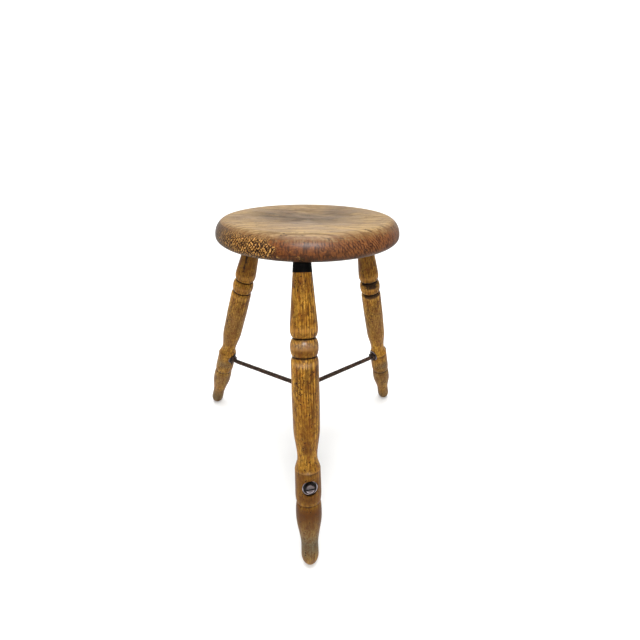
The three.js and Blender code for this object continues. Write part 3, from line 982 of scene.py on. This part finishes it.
def make_washer(name, leg, direction, material):
    """A washer with a raised rim round a dished face."""
    crossing, _ = bore_line(leg)
    bottom, face = washer_faces(leg)
    dished = face - WASHER_DISH
    inside_rim = WASHER_RADIUS - WASHER_RIM
    mid_rim = WASHER_RADIUS - WASHER_RIM / 2
    outline = [
        (dished, WASHER_HOLE), (dished, inside_rim - 0.4 * MM), (dished + 0.3 * MM, inside_rim),
        *quarter((face - 0.5 * MM, inside_rim), (face, mid_rim), True, 5),
        *quarter((face, mid_rim), (face - 0.7 * MM, WASHER_RADIUS), False, 5)[1:],
        (bottom, WASHER_RADIUS), (bottom, WASHER_HOLE),
    ]
    mesh = turned_mesh(name, outline, IRON_SIDES, closed=True)
    points = mesh_points(mesh)
    points[:, 2] -= np.abs(waviness(points, 5 * MM, len(name))) * 0.25 * MM
    move_points(mesh, points)

    # painted shade in the dish and a painted highlight on the rim
    out = np.hypot(points[:, 0], points[:, 1])
    paint(mesh, "painted_shade", np.clip((WASHER_RADIUS - WASHER_RIM * 0.8 - out) / (0.3 * MM), 0, 1))
    on_rim = np.exp(-((out - mid_rim) / (0.5 * MM)) ** 2) * (points[:, 2] > dished)
    paint(mesh, "painted_highlight", on_rim * np.clip(0.6 + waviness(points, 6 * MM, 3), 0, 1))
    smooth(mesh, 35)
    return new_piece(f"dished_{name}", mesh, material, [name], facing(crossing, direction))


def make_outer_nut(leg, material):
    """A round nut with a flat top, a rounded shoulder and a screwdriver slot."""
    name = f"outer_nut_{leg}"
    crossing, outward = bore_line(leg)
    seat = washer_faces(leg)[1] + NUT_GAP
    face = seat + HEAD_HEIGHT
    outline = [
        (face, 1 * MM),
        (face - 0.1 * MM, 0.5 * HEAD_RADIUS),
        *quarter((face - 0.2 * MM, 0.7 * HEAD_RADIUS), (face - 1.2 * MM, HEAD_RADIUS), False, 10),
        (seat - NUT_SINK, HEAD_RADIUS),
    ]
    body = turned_mesh(name, outline, IRON_SIDES)
    slot = block("slot", (-2 * HEAD_RADIUS, -SLOT_WIDTH / 2, face - SLOT_DEPTH),
                 (2 * HEAD_RADIUS, SLOT_WIDTH / 2, face + HEAD_HEIGHT))
    mesh = bevelled(combined(body, [slot], "DIFFERENCE"), 0.22 * MM)

    # painted shade in the slot and round the foot, and a painted highlight on the lower shoulder and
    # faintly over the top
    points = mesh_points(mesh)
    out = np.hypot(points[:, 0], points[:, 1])
    in_slot = (np.abs(points[:, 1]) < SLOT_WIDTH / 2 + 0.1 * MM) & (points[:, 2] < face - 0.1 * MM)
    below = np.clip(-points[:, 1] / HEAD_RADIUS * 2 - 0.3, 0, 0.7)
    on_shoulder = np.exp(-((out - 0.85 * HEAD_RADIUS) / (0.1 * HEAD_RADIUS)) ** 2)
    round_foot = points[:, 2] < face - 2.5 * MM
    paint(mesh, "painted_shade", 1.0 * (in_slot | round_foot))
    paint(mesh, "painted_highlight", np.maximum(below * on_shoulder, 0.1 * (points[:, 2] > face - 0.8 * MM)))
    smooth(mesh, 35)
    return new_piece(f"slotted_{name}", mesh, material, [name], facing(crossing, outward))


def make_inner_nut(leg, material):
    """A hexagon nut with both faces chamfered."""
    name = f"inner_nut_{leg}"
    crossing, outward = bore_line(leg)
    seat = washer_faces(leg)[1] + NUT_GAP
    face = seat + NUT_HEIGHT
    flat = NUT_ACROSS_FLATS / 2
    corner = flat / math.cos(math.pi / 6)
    prism = turned_mesh(name, [(face, corner), (seat - NUT_SINK, corner)], 6)
    chamfer = turned_mesh("chamfer", [
        (face + MM, flat - 1.6 * MM), (face - 1.2 * MM, corner + 0.1 * MM),
        (seat, corner + 0.1 * MM), (seat - MM, flat),
    ], IRON_SIDES)
    mesh = bevelled(combined(prism, [chamfer], "INTERSECT"), 0.3 * MM)
    smooth(mesh, 35)
    return new_piece(f"hexagon_{name}", mesh, material, [name], facing(crossing, -outward))


def rod_path(leg):
    """Points along a rod: from the hub, straight to the bend, then squarely through the leg."""
    crossing, outward = bore_line(leg)
    hub = middle("stretcher_hub")
    nut_face = washer_faces(leg)[1] + NUT_HEIGHT
    elbow = crossing - outward * (nut_face + ELBOW_FROM_NUT)
    direction = (elbow - hub).normalized()
    start = elbow - direction * ELBOW_REACH
    end = elbow + outward * ELBOW_REACH
    bend = []
    for step in range(ELBOW_STEPS + 1):
        t = step / ELBOW_STEPS
        bend.append(start * (1 - t) ** 2 + elbow * 2 * t * (1 - t) + end * t ** 2)
    return [hub + direction * ROD_FROM_HUB_MIDDLE, *bend, crossing + outward * washer_faces(leg)[1]]


def make_rod(leg, material):
    """A round rod, a little uneven from the forge, swept along its path."""
    name = f"rod_{leg}"
    path = evenly([tuple(point) for point in rod_path(leg)], 2 * MM)
    shape = bmesh.new()
    rings = []
    across = None
    for index, point in enumerate(path):
        ahead = Vector(path[min(index + 1, len(path) - 1)]) - Vector(path[max(index - 1, 0)])
        ahead.normalize()
        across = (UP if across is None else across).cross(ahead).cross(ahead).normalized() * -1
        beside = ahead.cross(across)
        ring = []
        for side in range(ROD_SIDES):
            angle = side / ROD_SIDES * 2 * math.pi
            direction = across * math.cos(angle) + beside * math.sin(angle)
            spot = Vector(point) + direction * ROD_RADIUS
            radius = ROD_RADIUS + noise.noise(spot / (7 * MM)) * ROD_UNEVENNESS
            ring.append(shape.verts.new(Vector(point) + direction * radius))
        rings.append(ring)
    for before, after in zip(rings, rings[1:]):
        for side in range(ROD_SIDES):
            beside = (side + 1) % ROD_SIDES
            shape.faces.new((before[side], before[beside], after[beside], after[side]))
    shape.faces.new(list(reversed(rings[0])))
    shape.faces.new(rings[-1])
    bmesh.ops.recalc_face_normals(shape, faces=shape.faces)
    mesh = bpy.data.meshes.new(name)
    shape.to_mesh(mesh)
    shape.free()
    smooth(mesh, 40)
    return new_piece(f"forged_{name}", mesh, material, [name])


def make_hub(material):
    """A cast boss with softened edges."""
    low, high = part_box("stretcher_hub")
    radius = (high.x - low.x) / 2 - HUB_GAP
    half = (high.z - low.z) / 2
    outline = [
        (half, 1 * MM),
        *quarter((half, radius - HUB_ROUNDING), (half - HUB_ROUNDING, radius), False),
        *quarter((HUB_ROUNDING - half, radius), (-half, radius - HUB_ROUNDING), True),
        (-half, 1 * MM),
    ]
    mesh = turned_mesh("hub", evenly(outline, 0.8 * MM), HUB_SIDES)
    points = mesh_points(mesh)
    points *= (1 - np.abs(waviness(points, 6 * MM, 31)) * 0.012)[:, None]
    move_points(mesh, points)
    smooth(mesh, 40)
    place = Matrix.Translation((low + high) / 2)
    return new_piece("cast_hub", mesh, material, ["stretcher_hub"], place)


# ---- Stage: floor, light and camera ----------------------------------

COVE_RADIUS = 3.2
COVE_BEND = 1.2
COVE_HEIGHT = 4.5
COVE_COLOUR = (0.86, 0.86, 0.855, 1)
WORLD_STRENGTH = 0.8

# Each light's name, position, target, size and power in watts.
LIGHTS = [
    ("overhead", (0, 0.15, 1.6), (0, 0, 0.3), (1.0, 0.8), 20),
    ("wall wash", (0, 1.3, 2.7), (0, 3.2, 0.9), (3.0, 0.6), 55),
    ("front", (0.05, -1.45, 1.7), (0, 0, 0.3), (0.9, 0.5), 18),
]

CAMERA_FROM_SEAT = Vector((0, -0.5758, 0.096))  # from the middle of the seat's top
CAMERA_YAW = math.radians(2.14)
CAMERA_PITCH = math.radians(26.51)
CAMERA_ROLL = math.radians(0.635)
CAMERA_LENS = 19.125


def make_cove():
    """A pale floor that curves up into a wall all round, open at the top."""
    shade = Shade("cove")
    shade.feed(shade.surface["Base Color"], COVE_COLOUR)
    shade.feed(shade.surface["Roughness"], 0.9)
    bend = quarter((0, COVE_RADIUS - COVE_BEND), (COVE_BEND, COVE_RADIUS), False)
    mesh = turned_mesh("cove", [(0, 0.01), *bend, (COVE_HEIGHT, COVE_RADIUS)], 96)
    shape = bmesh.new()
    shape.from_mesh(mesh)
    lids = [face for face in shape.faces if len(face.verts) > 4 and face.calc_center_median().z > 1]
    bmesh.ops.delete(shape, geom=lids, context="FACES_ONLY")
    bmesh.ops.reverse_faces(shape, faces=shape.faces)
    shape.to_mesh(mesh)
    shape.free()
    smooth(mesh, 60)
    mesh.materials.append(shade.material)
    add_object("cove", mesh)


def make_light(name, position, target, size, power):
    light = bpy.data.lights.new(name, "AREA")
    light.shape = "RECTANGLE"
    light.size, light.size_y = size
    light.energy = power
    lamp = add_object(name, light)
    lamp.matrix_world = facing(Vector(position), Vector(position) - Vector(target))
    lamp.visible_camera = False


def make_camera():
    """A close, wide view from in front of the stool and a little above its seat."""
    low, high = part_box("seat")
    seat_top = Vector(((low.x + high.x) / 2, (low.y + high.y) / 2, high.z))
    flat = Vector((math.sin(CAMERA_YAW), math.cos(CAMERA_YAW), 0))
    ahead = flat * math.cos(CAMERA_PITCH) - UP * math.sin(CAMERA_PITCH)
    level = Vector((flat.y, -flat.x, 0))
    above = level.cross(ahead)
    right = level * math.cos(CAMERA_ROLL) + above * math.sin(CAMERA_ROLL)
    up = above * math.cos(CAMERA_ROLL) - level * math.sin(CAMERA_ROLL)
    turn = Matrix((right, up, -ahead)).transposed().to_4x4()
    camera = add_object("camera", bpy.data.cameras.new("camera"))
    camera.data.lens = CAMERA_LENS
    camera.data.sensor_width = 36
    camera.data.clip_start = 0.01
    camera.matrix_world = Matrix.Translation(seat_top + CAMERA_FROM_SEAT) @ turn
    bpy.context.scene.camera = camera


def make_stage():
    make_cove()
    for light in LIGHTS:
        make_light(*light)
    world = bpy.data.worlds.new("studio")
    world.use_nodes = True
    background = world.node_tree.nodes["Background"].inputs
    background["Color"].default_value = (1, 1, 1, 1)
    background["Strength"].default_value = WORLD_STRENGTH
    bpy.context.scene.world = world
    bpy.context.scene.view_settings.view_transform = "Standard"


# ---- Assembly --------------------------------------------------------


def make_stool():
    elm = seat_wood()
    beech = leg_wood()
    dark = iron("dark_iron", srgb(38, 30, 26), srgb(74, 62, 54), 0.55)
    worn = iron("worn_iron", srgb(40, 33, 31), srgb(88, 79, 77), 0.5)
    make_seat(elm)
    make_band(black_wrap())
    make_hub(dark)
    for leg in LEGS:
        _, outward = bore_line(leg)
        make_leg(leg, beech)
        make_rod(leg, dark)
        make_washer(f"outer_washer_{leg}", leg, outward, worn)
        make_washer(f"inner_washer_{leg}", leg, -outward, worn)
        make_outer_nut(leg, worn)
        make_inner_nut(leg, dark)


make_stool()
make_stage()
make_camera()

bpy.context.view_layer.update()
